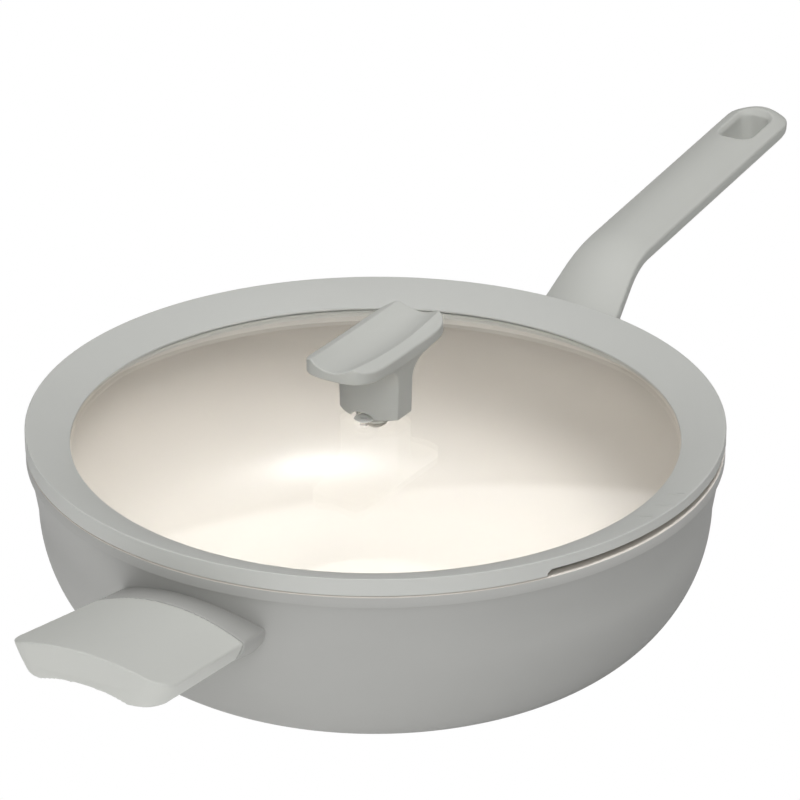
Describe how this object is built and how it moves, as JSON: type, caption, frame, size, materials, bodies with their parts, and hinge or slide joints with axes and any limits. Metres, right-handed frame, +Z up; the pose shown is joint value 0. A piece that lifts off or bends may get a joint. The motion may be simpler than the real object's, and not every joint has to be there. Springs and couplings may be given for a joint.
{
  "type": "covered frying wok",
  "caption": "Deep round-walled pan with a long hanging handle and a short helper handle, and a domed glass lid in a soft rim with a vented bar knob and a pour slot",
  "frame": {"origin": "centre of the pan base's underside, on the surface that the pan stands on", "axes": "+X runs along the long handle, -X along the helper handle, the lid's pour slot faces -Y, and +Z is up"},
  "size_m": [0.5737, 0.296, 0.1344],
  "materials": {
    "pan_coat": "matte grey coat on cast aluminium, cream ceramic inside",
    "plate_steel": "bare stainless disc with turned rings",
    "bracket_coat": "matte grey coat",
    "grip_soft": "soft-touch grey",
    "screw_steel": "satin stainless",
    "lid_glass": "clear tempered",
    "rim_silicone": "matte grey silicone",
    "seal_silicone": "matte pale silicone",
    "insert_brass": "turned"
  },
  "bodies": {
    "pan": {"pan_body": "pan_coat", "induction_plate": "plate_steel", "long_handle_bracket": "bracket_coat", "long_handle_grip": "grip_soft", "long_handle_screw": "screw_steel", "helper_bracket": "bracket_coat", "helper_grip": "grip_soft", "helper_screw_front": "screw_steel", "helper_screw_back": "screw_steel"},
    "lid": {"lid_glass": "lid_glass", "lid_rim": "rim_silicone", "vent_eyelet": "screw_steel", "lid_knob": "grip_soft", "knob_gasket": "seal_silicone", "knob_insert": "insert_brass", "knob_seal_washer": "seal_silicone", "knob_steel_washer": "screw_steel", "knob_screw": "screw_steel"}
  },
  "joints": [
    {"name": "lid_lift", "type": "slide", "parent": "pan", "child": "lid", "axis": [0, 0, 1], "range_m": [0, 0.12]}
  ]
}
